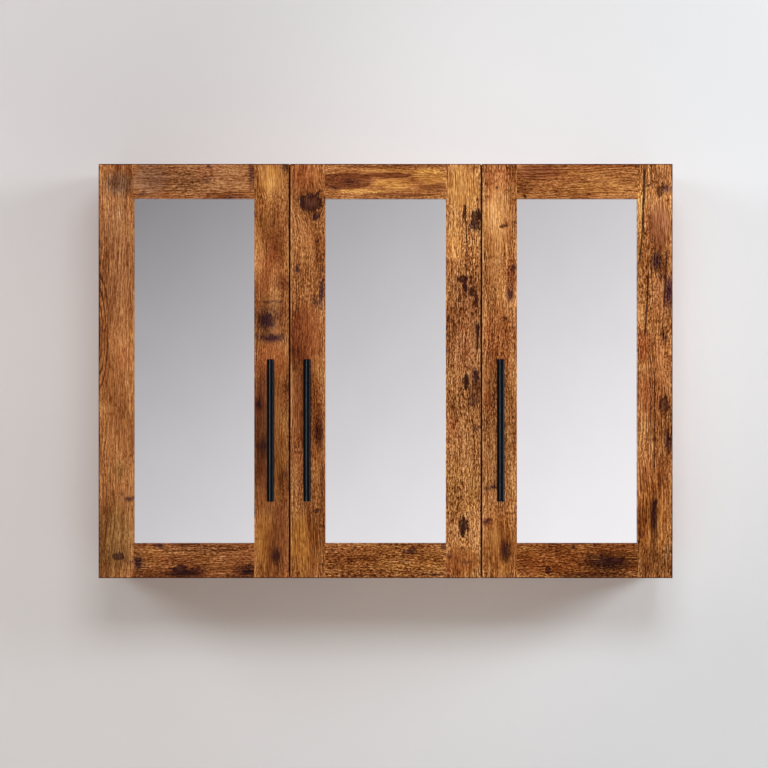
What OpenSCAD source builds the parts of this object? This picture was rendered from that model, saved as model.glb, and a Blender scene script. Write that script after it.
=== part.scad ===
// Bathroom mirror cabinet with three framed mirror doors on cup hinges.
// Millimetres. X runs to the right seen from the front, Z up, the doors face -Y.
// The origin is the middle of the back plane, where the cabinet meets the wall.

/* [Cabinet] */
// Overall width
cab_w = 900; // [720:10:1200]
// Overall height
cab_h = 650; // [560:10:900]
// Depth of the case without its doors
case_d = 132; // [120:1:200]
// Thickness of the case boards
board_t = 15; // [15:1:19]

/* [Back] */
// Thickness of the back panel
back_t = 3; // [2.5:0.5:5]
// Depth of the groove that holds the back panel
groove_depth = 6; // [4:0.5:8]
// Thickness of the hanging rails
rail_t = 15; // [12:1:18]
// Height of the hanging rails
rail_h = 60; // [50:1:90]
// Diameter of the wall screw holes
wall_hole_d = 6; // [4.5:0.5:8]
// Distance of the wall screw holes from the side boards
wall_hole_inset = 55; // [40:1:120]

/* [Shelves] */
// Thickness of the shelves
shelf_t = 15; // [8:1:19]
// Distance of the shelves behind the front edge of the case
shelf_setback = 20; // [20:1:40]
// Play at the ends and the back of a shelf
shelf_play = 1; // [0.8:0.1:2]
// Diameter of the shelf pins
shelf_pin_d = 5; // [4:0.5:6]
// Step of the shelf pin holes
pin_pitch = 32; // [20:1:32]

/* [Doors] */
// Thickness of the door frames
door_t = 16; // [16:0.5:22]
// Width of the upright frame members
stile_w = 54.5; // [50:0.5:70]
// Height of the crosswise frame members
door_rail_w = 54; // [45:1:80]
// Gap between neighbouring doors
door_gap = 2; // [2:0.1:4]
// Distance of the door edges inside the outline of the case
door_reveal = 1; // [0.5:0.1:2]
// Gap between the case and the backs of the doors
door_stand = 2; // [2:0.1:4]
// Thickness of the frame lip in front of the mirror
lip_t = 7; // [4:0.5:7]
// Width of the lip that covers the mirror edge
lip_w = 10; // [6:0.5:12]

/* [Mirrors] */
// Thickness of the mirror glass
glass_t = 4; // [3:0.5:4]
// Thickness of the board behind the mirror
backing_t = 3; // [2:0.5:4]
// Play around the mirror and its board
glass_play = 1; // [0.5:0.1:2]
// Thickness of the sheet metal clips
clip_t = 1.2; // [0.8:0.1:1.5]
// Width of a clip
clip_w = 12; // [8:1:16]

/* [Handles] */
// Diameter of the handle bar
bar_d = 12; // [10:0.5:16]
// Length of the handle bar
bar_len = 220; // [190:5:300]
// Distance between the two handle posts
post_pitch = 160; // [96:32:160]
// Diameter of the handle posts
post_d = 8; // [6:0.5:8]
// Distance from the door face to the middle of the bar
bar_reach = 30; // [24:1:40]
// Height of the handle middle below the cabinet middle
handle_drop = 92; // [0:1:110]

/* [Hinges] */
// Distance from the door end to a hinge
hinge_inset = 95; // [80:1:110]
// Diameter of the hinge cup
cup_d = 35; // [34:0.5:36]
// Depth of the bore for the hinge cup
cup_depth = 13; // [12.8:0.1:14]
// Wood left between the cup and the door edge
cup_tab = 3; // [2.8:0.1:3]
// Wall of the hinge cup
cup_wall = 0.8; // [0.6:0.1:0.8]
// Diameter of the hinge pins
pin_d = 2.4; // [2:0.1:2.5]
// Distance from the case front edge to the plate screws
plate_screw_setback = 37; // [35:1:39]
// Distance between the two plate screws
plate_screw_pitch = 32; // [28:1:36]

/* [Fixings] */
// Diameter of the wooden dowels
dowel_d = 8; // [6:1:8]
// Length of the wooden dowels
dowel_len = 30; // [26:1:34]
// Diameter of the cam discs
cam_d = 15; // [12:1:16]
// Diameter of the cam bolts
cam_bolt_d = 6; // [5:0.5:7]
// Diameter of the wood screws
wood_screw_d = 3.5; // [3:0.1:4]
// Diameter of the handle screws
handle_screw_d = 4; // [3:0.5:5]
// Diameter of the door bumpers
bumper_d = 8; // [6:1:10]

/* [Hidden] */
$fn = 64;

// Colours
board_colour = "saddlebrown";
wood_colour = [0.67, 0.43, 0.26];
metal_colour = "gainsboro";
black_colour = [0.08, 0.08, 0.09];

// Fits and small cuts
fit = 0.05;      // radial clearance of dowels, pins and screws in their holes
pin_fit = 0.02;  // radial clearance of a hinge pin in its seat
overcut = 1;     // how far a cutting tool runs past a face

// Case
half_w = cab_w / 2;
half_h = cab_h / 2;
inner_w = half_w - board_t;
inner_h = half_h - board_t;
back_y = -rail_t;
bay_y = -(rail_t + back_t);
groove_play = 0.2;
groove_end_play = 0.5;
wall_hole_x = inner_w - wall_hole_inset;
wall_hole_z = inner_h - rail_h / 2;

// Doors, counted 0 to 2 from the left
DOORS = [0, 1, 2];
door_pitch = (cab_w - 2 * door_reveal + door_gap) / 3;
door_w = door_pitch - door_gap;
door_h = cab_h - 2 * door_reveal;
door_back = -(case_d + door_stand);
door_front = door_back - door_t;
open_w = door_w - 2 * stile_w;
open_h = door_h - 2 * door_rail_w;
pocket_w = open_w + 2 * lip_w;
pocket_h = open_h + 2 * lip_w;
mirror_front = door_front + lip_t;
board_drop = door_t - lip_t - glass_t - backing_t;
divider_x = door_pitch / 2;
function door_x(i) = (i - 1) * door_pitch;
function hinge_side(i) = i == 0 ? -1 : 1;

// Board joints: two dowels and a cam in each corner
dowel_in_side = 11;
dowel_inset = 20;
joint_front = -case_d + dowel_inset;
joint_rear = bay_y - dowel_inset;
joint_middle = (joint_front + joint_rear) / 2;
cam_inset = 24;
cam_t = 12.4;
cam_slot_w = 1.2;
cam_slot_t = 1;
rail_dowel_z = [inner_h - rail_h / 4, inner_h - 3 * rail_h / 4];

// Shelves
shelf_step = 2 * inner_h / 3;
shelf_z = [shelf_step / 2, -shelf_step / 2];
shelf_front = -case_d + shelf_setback;
shelf_back = bay_y - shelf_play;
pin_sink = 6;
pin_reach = 7;
pin_flat = 1.5;
pin_collar = 1;
pin_inset = 20;
pin_collar_t = 0.8 * shelf_play;
pin_y = [-case_d + plate_screw_setback, bay_y - pin_inset];
pin_z = [for (z = shelf_z) z - shelf_t / 2 - pin_flat];
// Inner face and inward direction of each upright of the two bays
WIDE = [[-inner_w, 1], [divider_x - board_t / 2, -1]];
NARROW = [[divider_x + board_t / 2, 1], [inner_w, -1]];

// Hinge linkage. h runs from the door edge into the door, k from the back of the
// door to its face. The case board lies at h below face_h and k below -door_stand.
pivot_a = [23.5, -11];
pivot_b = [34, -21.6];
pivot_c = [7.8, 7.5];
pivot_d = [7.2, 3.8];
outer_knee = [18.4, 9.8];
inner_knee = [21, 7.6];
slot_travel = 1.7;
slot_play = 0.35;
outer_half = 1.5;
inner_half = 1.3;
eye_wall = 1;
inner_eye_wall = 0.9;
knee_rim = 0.15;
end_wall = 1.3;
end_tip = 1.8;
end_overlap = 2;
link_fit = 0.05;
outer_z = 3;
cheek_z = [3.3, 4.8];
arm_z = [5.1, 6.6];
boss_z = 9;
boss_reach = 3;
cup_h = cup_tab + cup_d / 2;
ear_offset = 9.5;
ear_pitch = 45;
ear_r = 5.5;
ear_trim = 0.2;
flange_t = 1.2;
flange_rim = 1.5;
boss_lip = 1.4;
web_h = [38.8, 40.3];
arm_low = 20;
arm_len = 62;
arm_eye_r = pin_d / 2 + 1.6;
arm_lead = 5;
arm_heel = 3;
plate_t = 2;
plate_len = 50;
plate_front = -14;
plate_half = 9;
plate_wing = 14;
plate_end = 6;
block_front = -30;
arm_screw_k = -45;
arm_screw_d = 6;
arm_screw_len = 8.5;
arm_head_d = 9;
arm_head_t = 2;
screw_tip_gap = 0.5;
hinge_z = [door_h / 2 - hinge_inset, -(door_h / 2 - hinge_inset)];
// Distance from the door edge to the face of the board that carries the hinge
function face_h(i) = i == 1 ? (board_t - door_gap) / 2 : board_t - door_reveal;

// Screws and handles
screw_head_d = 7;
screw_head_t = 1.6;
wood_screw_len = 12;
clip_screw_d = wood_screw_d - 0.5;
clip_head_d = 6;
clip_foot = 12;
clip_hole = 6.5;
clip_bend_gap = 0.1;
clip_tongue = 8;
clip_z = [-140, 0, 140];
clip_x = [-50, 50];
handle_head_d = 8;
handle_head_t = 2.5;
handle_x = door_w / 2 - stile_w / 2;
post_sink = 4.8;
post_bore = 12;
post_z = [for (s = [-1, 1]) -handle_drop + s * post_pitch / 2];
bar_chamfer = 0.6;
bumper_t = 0.85 * door_stand;
bumper_inset = 25;

// Box between two corners
module box(lo, hi) {
  translate(lo) cube(hi - lo);
}

// Rods along each axis between two places
module rod_x(d, x0, x1, y, z) {
  translate([min(x0, x1), y, z]) rotate([0, 90, 0]) cylinder(d = d, h = abs(x1 - x0));
}
module rod_y(d, y0, y1, x, z) {
  translate([x, max(y0, y1), z]) rotate([90, 0, 0]) cylinder(d = d, h = abs(y1 - y0));
}
module rod_z(d, z0, z1, x, y) {
  translate([x, y, min(z0, z1)]) cylinder(d = d, h = abs(z1 - z0));
}

// Places a hinge drawn in h, k and z on the hinge side of a door
module at_hinge(i, z) {
  side = hinge_side(i);
  translate([door_x(i) + side * door_w / 2, door_back, z])
    mirror([side > 0 ? 1 : 0, 0, 0]) mirror([0, 1, 0]) children();
}
module at_hinges(i) {
  for (z = hinge_z) at_hinge(i, z) children();
}

// Bores for the back panel, shelf pins, plates, dowels and cams
module groove_cut() {
  box([-inner_w - groove_depth, back_y - back_t - groove_play, -inner_h - groove_depth],
      [inner_w + groove_depth, back_y, inner_h + groove_depth]);
}
module pin_bores(uprights) {
  for (u = uprights, y = pin_y, z = pin_z, step = [-1:1])
    rod_x(shelf_pin_d + 2 * fit, u[0] - u[1] * (pin_sink + fit), u[0] + u[1] * overcut,
          y, z + step * pin_pitch);
}
module plate_bores(i) {
  at_hinges(i)
    for (s = [-1, 1])
      rod_x(wood_screw_d + 2 * fit, face_h(i) - wood_screw_len + plate_t - screw_tip_gap,
            face_h(i) + overcut,
            -door_stand - plate_screw_setback, s * plate_screw_pitch / 2);
}
module corner_bores() {
  for (sx = [-1, 1], sz = [-1, 1]) {
    z = sz * (half_h - board_t / 2);
    for (y = [joint_front, joint_rear])
      rod_x(dowel_d + 2 * fit, sx * (inner_w + dowel_in_side + fit),
            sx * (inner_w + dowel_in_side - dowel_len - fit), y, z);
    rod_x(cam_bolt_d + 2 * fit, sx * (inner_w + dowel_in_side + fit),
          sx * (inner_w - cam_inset), joint_middle, z);
    rod_z(cam_d + 2 * fit, sz * (inner_h - overcut), sz * (inner_h + cam_t + fit),
          sx * (inner_w - cam_inset), joint_middle);
  }
}
module rail_bores() {
  for (sx = [-1, 1], sz = [-1, 1], z = rail_dowel_z)
    rod_x(dowel_d + 2 * fit, sx * (inner_w + dowel_in_side + fit),
          sx * (inner_w + dowel_in_side - dowel_len - fit), -rail_t / 2, sz * z);
}
module divider_bores() {
  for (sz = [-1, 1], y = [joint_front, joint_rear])
    rod_z(dowel_d + 2 * fit, sz * (inner_h + dowel_in_side + fit),
          sz * (inner_h + dowel_in_side - dowel_len - fit), divider_x, y);
}
module wall_bores() {
  for (sx = [-1, 1], sz = [-1, 1])
    rod_y(wall_hole_d, overcut, bay_y - overcut, sx * wall_hole_x, sz * wall_hole_z);
}

// Case boards
module side_panel(side) {
  color(board_colour) difference() {
    box([side > 0 ? inner_w : -half_w, -case_d, -half_h],
        [side > 0 ? half_w : -inner_w, 0, half_h]);
    groove_cut();
    corner_bores();
    rail_bores();
    pin_bores([side > 0 ? NARROW[1] : WIDE[0]]);
    plate_bores(side > 0 ? 2 : 0);
  }
}
module divider_panel() {
  color(board_colour) difference() {
    box([divider_x - board_t / 2, -case_d, -inner_h], [divider_x + board_t / 2, bay_y, inner_h]);
    divider_bores();
    pin_bores([WIDE[1], NARROW[0]]);
    plate_bores(1);
  }
}
module level_panel(side) {
  color(board_colour) difference() {
    box([-inner_w, -case_d, side > 0 ? inner_h : -half_h],
        [inner_w, 0, side > 0 ? half_h : -inner_h]);
    groove_cut();
    corner_bores();
    divider_bores();
  }
}
module back_panel() {
  reach = groove_depth - groove_end_play;
  color("burlywood") difference() {
    box([-inner_w - reach, bay_y, -inner_h - reach], [inner_w + reach, back_y, inner_h + reach]);
    wall_bores();
  }
}
module hanging_rail(side) {
  color(board_colour) difference() {
    box([-inner_w, back_y, side > 0 ? inner_h - rail_h : -inner_h],
        [inner_w, 0, side > 0 ? inner_h : rail_h - inner_h]);
    rail_bores();
    wall_bores();
  }
}

// Shelves on pins
module shelf(uprights, z) {
  color(board_colour)
    box([uprights[0][0] + shelf_play, shelf_front, z - shelf_t / 2],
        [uprights[1][0] - shelf_play, shelf_back, z + shelf_t / 2]);
}
module shelf_pin(face, inward, y, z) {
  difference() {
    rod_x(shelf_pin_d, face - inward * pin_sink, face + inward * pin_reach, y, z);
    box([min(face, face + inward * pin_reach * 2), y - shelf_pin_d, z + pin_flat],
        [max(face, face + inward * pin_reach * 2), y + shelf_pin_d, z + shelf_pin_d]);
  }
  rod_x(shelf_pin_d + 2 * pin_collar, face, face + inward * pin_collar_t, y, z);
}
module shelf_pins() {
  color(metal_colour)
    for (u = concat(WIDE, NARROW), y = pin_y, z = pin_z) shelf_pin(u[0], u[1], y, z);
}

// Dowels, cams and cam bolts of the case
module cam(sx, sz) {
  x = sx * (inner_w - cam_inset);
  difference() {
    rod_z(cam_d, sz * inner_h, sz * (inner_h + cam_t), x, joint_middle);
    rod_x(cam_bolt_d + 2 * fit, x, x + sx * cam_d, joint_middle, sz * (half_h - board_t / 2));
    box([x - cam_d / 4, joint_middle - cam_slot_w / 2, sz * inner_h - cam_slot_t],
        [x + cam_d / 4, joint_middle + cam_slot_w / 2, sz * inner_h + cam_slot_t]);
  }
  rod_x(cam_bolt_d, sx * (inner_w + dowel_in_side), x + sx * fit, joint_middle,
        sz * (half_h - board_t / 2));
}
module carcass_fittings() {
  far = inner_w + dowel_in_side;
  color(metal_colour) {
    for (sx = [-1, 1], sz = [-1, 1]) {
      cam(sx, sz);
      for (y = [joint_front, joint_rear])
        rod_x(dowel_d, sx * far, sx * (far - dowel_len), y, sz * (half_h - board_t / 2));
      for (z = rail_dowel_z)
        rod_x(dowel_d, sx * far, sx * (far - dowel_len), -rail_t / 2, sz * z);
    }
    for (sz = [-1, 1], y = [joint_front, joint_rear])
      rod_z(dowel_d, sz * (inner_h + dowel_in_side), sz * (inner_h + dowel_in_side - dowel_len),
            divider_x, y);
  }
}

// Soft dots on the case edge that the free edge of each door closes against
module door_bumpers() {
  color("white")
    for (i = DOORS, sz = [-1, 1])
      rod_y(bumper_d, -case_d, -case_d - bumper_t,
            door_x(i) - hinge_side(i) * (door_w / 2 - bumper_inset), sz * (half_h - board_t / 2));
}

// Straight strip between two points of the linkage plane
module strip(a, b, half) {
  d = b - a;
  translate(a) rotate(atan2(d[1], d[0])) translate([0, -half]) square([norm(d), 2 * half]);
}
module pin_at(p, z0, z1, d) {
  rod_z(d, z0, z1, p[0], p[1]);
}

// Hinge arm: a channel whose cheeks hold the two fixed pins
module arm_cheek() {
  r = 0.9 * arm_eye_r;
  side = 0.3 * arm_eye_r;
  translate(pivot_a) circle(r = arm_eye_r);
  polygon([[pivot_a[0] - r, pivot_a[1] - side], [pivot_a[0] + side, pivot_a[1] + r],
           [web_h[1], pivot_b[1] + arm_lead], [web_h[1], -arm_len], [arm_low, -arm_len],
           [arm_low, pivot_b[1] - arm_heel]]);
}
module hinge_arm() {
  difference() {
    union() {
      for (z = [arm_z[0], -arm_z[1]])
        translate([0, 0, z]) linear_extrude(arm_z[1] - arm_z[0]) arm_cheek();
      box([web_h[0], -arm_len, -arm_z[1]], [web_h[1], pivot_b[1] + arm_lead, arm_z[1]]);
    }
    for (p = [pivot_a, pivot_b]) pin_at(p, -arm_z[1] - overcut, arm_z[1] + overcut,
                                        pin_d + 2 * pin_fit);
    rod_x(arm_screw_d + 2 * fit, web_h[0] - overcut, web_h[1] + overcut, arm_screw_k, 0);
  }
  for (p = [pivot_a, pivot_b]) pin_at(p, -arm_z[1], arm_z[1], pin_d);
}
module hinge_arms() {
  color(metal_colour) for (i = DOORS) at_hinges(i) hinge_arm();
}

// Plate on the case board, with the block that the arm is screwed to
module hinge_plate(face) {
  wing_k = -door_stand - plate_screw_setback;
  difference() {
    union() {
      box([face, plate_front - plate_len, -plate_half], [face + plate_t, plate_front, plate_half]);
      box([face, wing_k - plate_wing / 2, -plate_screw_pitch / 2 - plate_end],
          [face + plate_t, wing_k + plate_wing / 2, plate_screw_pitch / 2 + plate_end]);
      box([face, -arm_len, -cheek_z[1]], [web_h[0], block_front, cheek_z[1]]);
    }
    for (s = [-1, 1])
      rod_x(wood_screw_d + 2 * fit, face - overcut, face + plate_t + overcut, wing_k,
            s * plate_screw_pitch / 2);
    rod_x(arm_screw_d + 2 * fit, web_h[0] - arm_screw_len - screw_tip_gap,
          web_h[0] + overcut, arm_screw_k, 0);
  }
}
module hinge_plates() {
  color(metal_colour) for (i = DOORS) at_hinges(i) hinge_plate(face_h(i));
}
module wood_screw(h, k, z) {
  rod_x(screw_head_d, h, h + screw_head_t, k, z);
  rod_x(wood_screw_d, h - wood_screw_len, h, k, z);
}
module hinge_plate_screws() {
  color(metal_colour) for (i = DOORS) at_hinges(i) {
    for (s = [-1, 1])
      wood_screw(face_h(i) + plate_t, -door_stand - plate_screw_setback,
                 s * plate_screw_pitch / 2);
    rod_x(arm_head_d, web_h[1], web_h[1] + arm_head_t, arm_screw_k, 0);
    rod_x(arm_screw_d, web_h[0] - arm_screw_len, web_h[1], arm_screw_k, 0);
  }
}

// Hinge cup in the door, with the blocks that hold its two pins
module cup_flange() {
  ear_h = cup_h + ear_offset;
  for (s = [-1, 1]) translate([ear_h, s * ear_pitch / 2]) circle(r = ear_r);
  translate([ear_h - ear_r + ear_trim, -ear_pitch / 2])
    square([2 * (ear_r - ear_trim), ear_pitch]);
  intersection() {
    translate([cup_h, 0]) circle(d = cup_d + 2 * flange_rim);
    translate([cup_h, -cup_d]) square([cup_d, 2 * cup_d]);
  }
}
module hinge_cup() {
  cavity_d = cup_d - 2 * cup_wall;
  difference() {
    union() {
      rod_y(cup_d, 0, cup_depth, cup_h, 0);
      rotate([90, 0, 0]) linear_extrude(flange_t) cup_flange();
    }
    difference() {
      rod_y(cavity_d, -flange_t - overcut, cup_depth - cup_wall, cup_h, 0);
      for (s = [0, 1])
        mirror([0, 0, s])
          box([0, boss_lip, arm_z[0]], [pivot_c[0] + boss_reach, cup_depth, boss_z]);
    }
    for (p = [pivot_c, pivot_d]) pin_at(p, -boss_z - overcut, boss_z + overcut,
                                        pin_d + 2 * pin_fit);
    for (s = [-1, 1])
      rod_y(wood_screw_d + 2 * fit, overcut, -flange_t - overcut, cup_h + ear_offset,
            s * ear_pitch / 2);
  }
  pin_at(pivot_c, -boss_z, boss_z, pin_d);
  for (s = [-1, 1]) pin_at(pivot_d, s * cheek_z[0], s * boss_z, pin_d);
}
module door_hinge_cups(i) {
  color(metal_colour) at_hinges(i) hinge_cup();
}

// Outer link: one cast strip bent round the edge of the cup
module outer_link() {
  eye = pin_d / 2 + eye_wall;
  difference() {
    translate([0, 0, -outer_z]) linear_extrude(2 * outer_z) {
      strip(pivot_a, outer_knee, outer_half);
      strip(outer_knee, pivot_c, outer_half);
      translate(outer_knee) circle(r = outer_half + knee_rim);
      translate(pivot_a) circle(r = eye);
      translate(pivot_c) circle(r = eye);
    }
    for (p = [pivot_a, pivot_c]) pin_at(p, -outer_z - overcut, outer_z + overcut,
                                        pin_d + 2 * link_fit);
  }
}
module door_outer_links(i) {
  color("silver") at_hinges(i) outer_link();
}

// Inner link: two cheeks joined by a slotted end that rides on the rear pin
module slotted_end(turn, slot_half) {
  end_half = slot_half + end_wall;
  end_r = slot_half + end_tip;
  translate(pivot_b) rotate(turn) intersection() {
    translate([-slot_travel - 2 * end_r, -end_half])
      square([slot_travel + 4 * end_r, 2 * end_half]);
    translate([-slot_travel / 2, 0]) circle(r = end_r + slot_travel / 2);
  }
}
module inner_link() {
  run = pivot_b - pivot_d;
  turn = atan2(run[1], run[0]);
  slot_half = pin_d / 2 + slot_play;
  difference() {
    union() {
      for (z = [cheek_z[0], -cheek_z[1]])
        translate([0, 0, z]) linear_extrude(cheek_z[1] - cheek_z[0]) {
          strip(pivot_d, inner_knee, inner_half);
          strip(inner_knee, pivot_b - run / norm(run) * end_overlap, inner_half);
          translate(inner_knee) circle(r = inner_half + knee_rim);
          translate(pivot_d) circle(r = pin_d / 2 + inner_eye_wall);
          slotted_end(turn, slot_half);
        }
      translate([0, 0, -cheek_z[0]]) linear_extrude(2 * cheek_z[0]) slotted_end(turn, slot_half);
    }
    pin_at(pivot_d, -boss_z, boss_z, pin_d + 2 * link_fit);
    translate([pivot_b[0], pivot_b[1], -boss_z]) rotate(turn)
      translate([-slot_travel - slot_half, -slot_half])
        cube([slot_travel + 2 * slot_half, 2 * slot_half, 2 * boss_z]);
  }
}
module door_inner_links(i) {
  color("darkgray") at_hinges(i) inner_link();
}

// Bores shared by the members of a door frame
module door_pocket(i) {
  box([door_x(i) - pocket_w / 2, mirror_front, -pocket_h / 2],
      [door_x(i) + pocket_w / 2, door_back + overcut, pocket_h / 2]);
}
module frame_dowel_rods(i, grow) {
  for (sx = [-1, 1], sz = [-1, 1], share = [0.28, 0.72]) {
    x = door_x(i) + sx * open_w / 2;
    z = sz * (door_h / 2 - share * (door_rail_w - lip_w));
    rod_x(dowel_d + 2 * grow, x - dowel_len / 2 - grow, x + dowel_len / 2 + grow,
          door_back - door_t / 2, z);
  }
}
// Runs its children once for each mirror clip, drawn with x away from the mirror
module at_clips(i) {
  for (s = [0, 1]) {
    for (z = clip_z)
      translate([door_x(i) + (2 * s - 1) * pocket_w / 2, door_back, z])
        mirror([1 - s, 0, 0]) children();
    for (x = clip_x)
      translate([door_x(i) + x, door_back, (2 * s - 1) * pocket_h / 2])
        mirror([0, 0, 1 - s]) rotate([0, -90, 0]) children();
  }
}
module clip_screw(grow) {
  rod_y(clip_screw_d + 2 * grow, clip_t + grow, clip_t - wood_screw_len - grow, clip_hole, 0);
}
module frame_bores(i) {
  door_pocket(i);
  frame_dowel_rods(i, fit);
  at_clips(i) clip_screw(fit);
}

// Door frame members
module door_stile(i, side) {
  x0 = door_x(i) + side * door_w / 2;
  x1 = door_x(i) + side * open_w / 2;
  color(wood_colour) difference() {
    box([min(x0, x1), door_front, -door_h / 2], [max(x0, x1), door_back, door_h / 2]);
    frame_bores(i);
    if (side == hinge_side(i)) {
      at_hinges(i) {
        rod_y(cup_d + 2 * fit, -overcut, cup_depth + fit, cup_h, 0);
        for (s = [-1, 1])
          rod_y(wood_screw_d + 2 * fit, -overcut, wood_screw_len, cup_h + ear_offset,
                s * ear_pitch / 2);
      }
    } else {
      for (z = post_z)
        rod_y(handle_screw_d + 2 * fit, door_back + overcut, door_front - overcut,
              door_x(i) + side * handle_x, z);
    }
  }
}
module door_rail(i, side) {
  z0 = side * door_h / 2;
  z1 = side * open_h / 2;
  color(wood_colour) difference() {
    box([door_x(i) - open_w / 2, door_front, min(z0, z1)],
        [door_x(i) + open_w / 2, door_back, max(z0, z1)]);
    frame_bores(i);
  }
}
module door_frame_dowels(i) {
  color("burlywood") frame_dowel_rods(i, 0);
}

// Mirror, its backing board and the clips that hold both in the frame
module pocket_sheet(i, y0, y1) {
  box([door_x(i) - pocket_w / 2 + glass_play, y0, -pocket_h / 2 + glass_play],
      [door_x(i) + pocket_w / 2 - glass_play, y1, pocket_h / 2 - glass_play]);
}
module door_mirror(i) {
  color("lightsteelblue") pocket_sheet(i, mirror_front, mirror_front + glass_t);
}
module door_backing_board(i) {
  color("peru")
    pocket_sheet(i, mirror_front + glass_t, mirror_front + glass_t + backing_t);
}
module mirror_clip() {
  leg = clip_bend_gap;
  difference() {
    translate([0, 0, -clip_w / 2]) linear_extrude(clip_w)
      polygon([[clip_foot, 0], [clip_foot, clip_t], [-leg - clip_t, clip_t],
               [-leg - clip_t, clip_t - board_drop], [-clip_tongue, clip_t - board_drop],
               [-clip_tongue, -board_drop], [-leg, -board_drop], [-leg, 0]]);
    clip_screw(fit);
  }
}
module door_mirror_clips(i) {
  color(metal_colour) at_clips(i) mirror_clip();
}

// Handle: a round bar on two posts
module door_handle_bar(i) {
  x = door_x(i) - hinge_side(i) * handle_x;
  y = door_front - bar_reach;
  r = bar_d / 2;
  color(black_colour) difference() {
    translate([x, y, -handle_drop - bar_len / 2])
      rotate_extrude()
        polygon([[0, 0], [r - bar_chamfer, 0], [r, bar_chamfer], [r, bar_len - bar_chamfer],
                 [r - bar_chamfer, bar_len], [0, bar_len]]);
    for (z = post_z) rod_y(post_d + 2 * fit, y + r + overcut, y + r - post_sink - fit, x, z);
  }
}
module door_handle_posts(i) {
  x = door_x(i) - hinge_side(i) * handle_x;
  near = door_front - bar_reach + bar_d / 2;
  color(black_colour) for (z = post_z) difference() {
    rod_y(post_d, door_front, near - post_sink, x, z);
    rod_y(handle_screw_d + 2 * fit, door_front + overcut, door_front - post_bore, x, z);
  }
}

// Screws of a door: handle, mirror clips and hinge cups
module door_screws(i) {
  x = door_x(i) - hinge_side(i) * handle_x;
  color(metal_colour) {
    for (z = post_z) {
      rod_y(handle_head_d, door_back, door_back + handle_head_t, x, z);
      rod_y(handle_screw_d, door_back, door_front - post_bore + overcut, x, z);
    }
    at_clips(i) {
      clip_screw(0);
      rod_y(clip_head_d, clip_t, clip_t + screw_head_t, clip_hole, 0);
    }
    at_hinges(i) for (s = [-1, 1]) {
      rod_y(screw_head_d, -flange_t - screw_head_t, -flange_t, cup_h + ear_offset,
            s * ear_pitch / 2);
      rod_y(wood_screw_d, -flange_t, wood_screw_len - overcut, cup_h + ear_offset,
            s * ear_pitch / 2);
    }
  }
}

side_panel(-1);  // left_side_panel
side_panel(1);  // right_side_panel
divider_panel();
level_panel(1);  // top_panel
level_panel(-1);  // bottom_panel
back_panel();
hanging_rail(1);  // upper_hanging_rail
hanging_rail(-1);  // lower_hanging_rail
shelf(WIDE, shelf_z[0]);  // wide_shelf_upper
shelf(WIDE, shelf_z[1]);  // wide_shelf_lower
shelf(NARROW, shelf_z[0]);  // narrow_shelf_upper
shelf(NARROW, shelf_z[1]);  // narrow_shelf_lower
shelf_pins();
hinge_arms();
hinge_plates();
hinge_plate_screws();
carcass_fittings();
door_bumpers();

door_stile(0, hinge_side(0));  // left_door_hinge_stile
door_stile(0, -hinge_side(0));  // left_door_handle_stile
door_rail(0, 1);  // left_door_top_rail
door_rail(0, -1);  // left_door_bottom_rail
door_mirror(0);  // left_door_mirror
door_backing_board(0);  // left_door_backing_board
door_mirror_clips(0);  // left_door_mirror_clips
door_frame_dowels(0);  // left_door_frame_dowels
door_handle_bar(0);  // left_door_handle_bar
door_handle_posts(0);  // left_door_handle_posts
door_screws(0);  // left_door_screws
door_hinge_cups(0);  // left_door_hinge_cups
door_outer_links(0);  // left_door_outer_links
door_inner_links(0);  // left_door_inner_links

door_stile(1, hinge_side(1));  // middle_door_hinge_stile
door_stile(1, -hinge_side(1));  // middle_door_handle_stile
door_rail(1, 1);  // middle_door_top_rail
door_rail(1, -1);  // middle_door_bottom_rail
door_mirror(1);  // middle_door_mirror
door_backing_board(1);  // middle_door_backing_board
door_mirror_clips(1);  // middle_door_mirror_clips
door_frame_dowels(1);  // middle_door_frame_dowels
door_handle_bar(1);  // middle_door_handle_bar
door_handle_posts(1);  // middle_door_handle_posts
door_screws(1);  // middle_door_screws
door_hinge_cups(1);  // middle_door_hinge_cups
door_outer_links(1);  // middle_door_outer_links
door_inner_links(1);  // middle_door_inner_links

door_stile(2, hinge_side(2));  // right_door_hinge_stile
door_stile(2, -hinge_side(2));  // right_door_handle_stile
door_rail(2, 1);  // right_door_top_rail
door_rail(2, -1);  // right_door_bottom_rail
door_mirror(2);  // right_door_mirror
door_backing_board(2);  // right_door_backing_board
door_mirror_clips(2);  // right_door_mirror_clips
door_frame_dowels(2);  // right_door_frame_dowels
door_handle_bar(2);  // right_door_handle_bar
door_handle_posts(2);  // right_door_handle_posts
door_screws(2);  // right_door_screws
door_hinge_cups(2);  // right_door_hinge_cups
door_outer_links(2);  // right_door_outer_links
door_inner_links(2);  // right_door_inner_links
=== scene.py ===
"""Looks of a bathroom mirror cabinet: rustic wood frames, silver mirrors, black bar handles."""

import math
from types import SimpleNamespace

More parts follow.
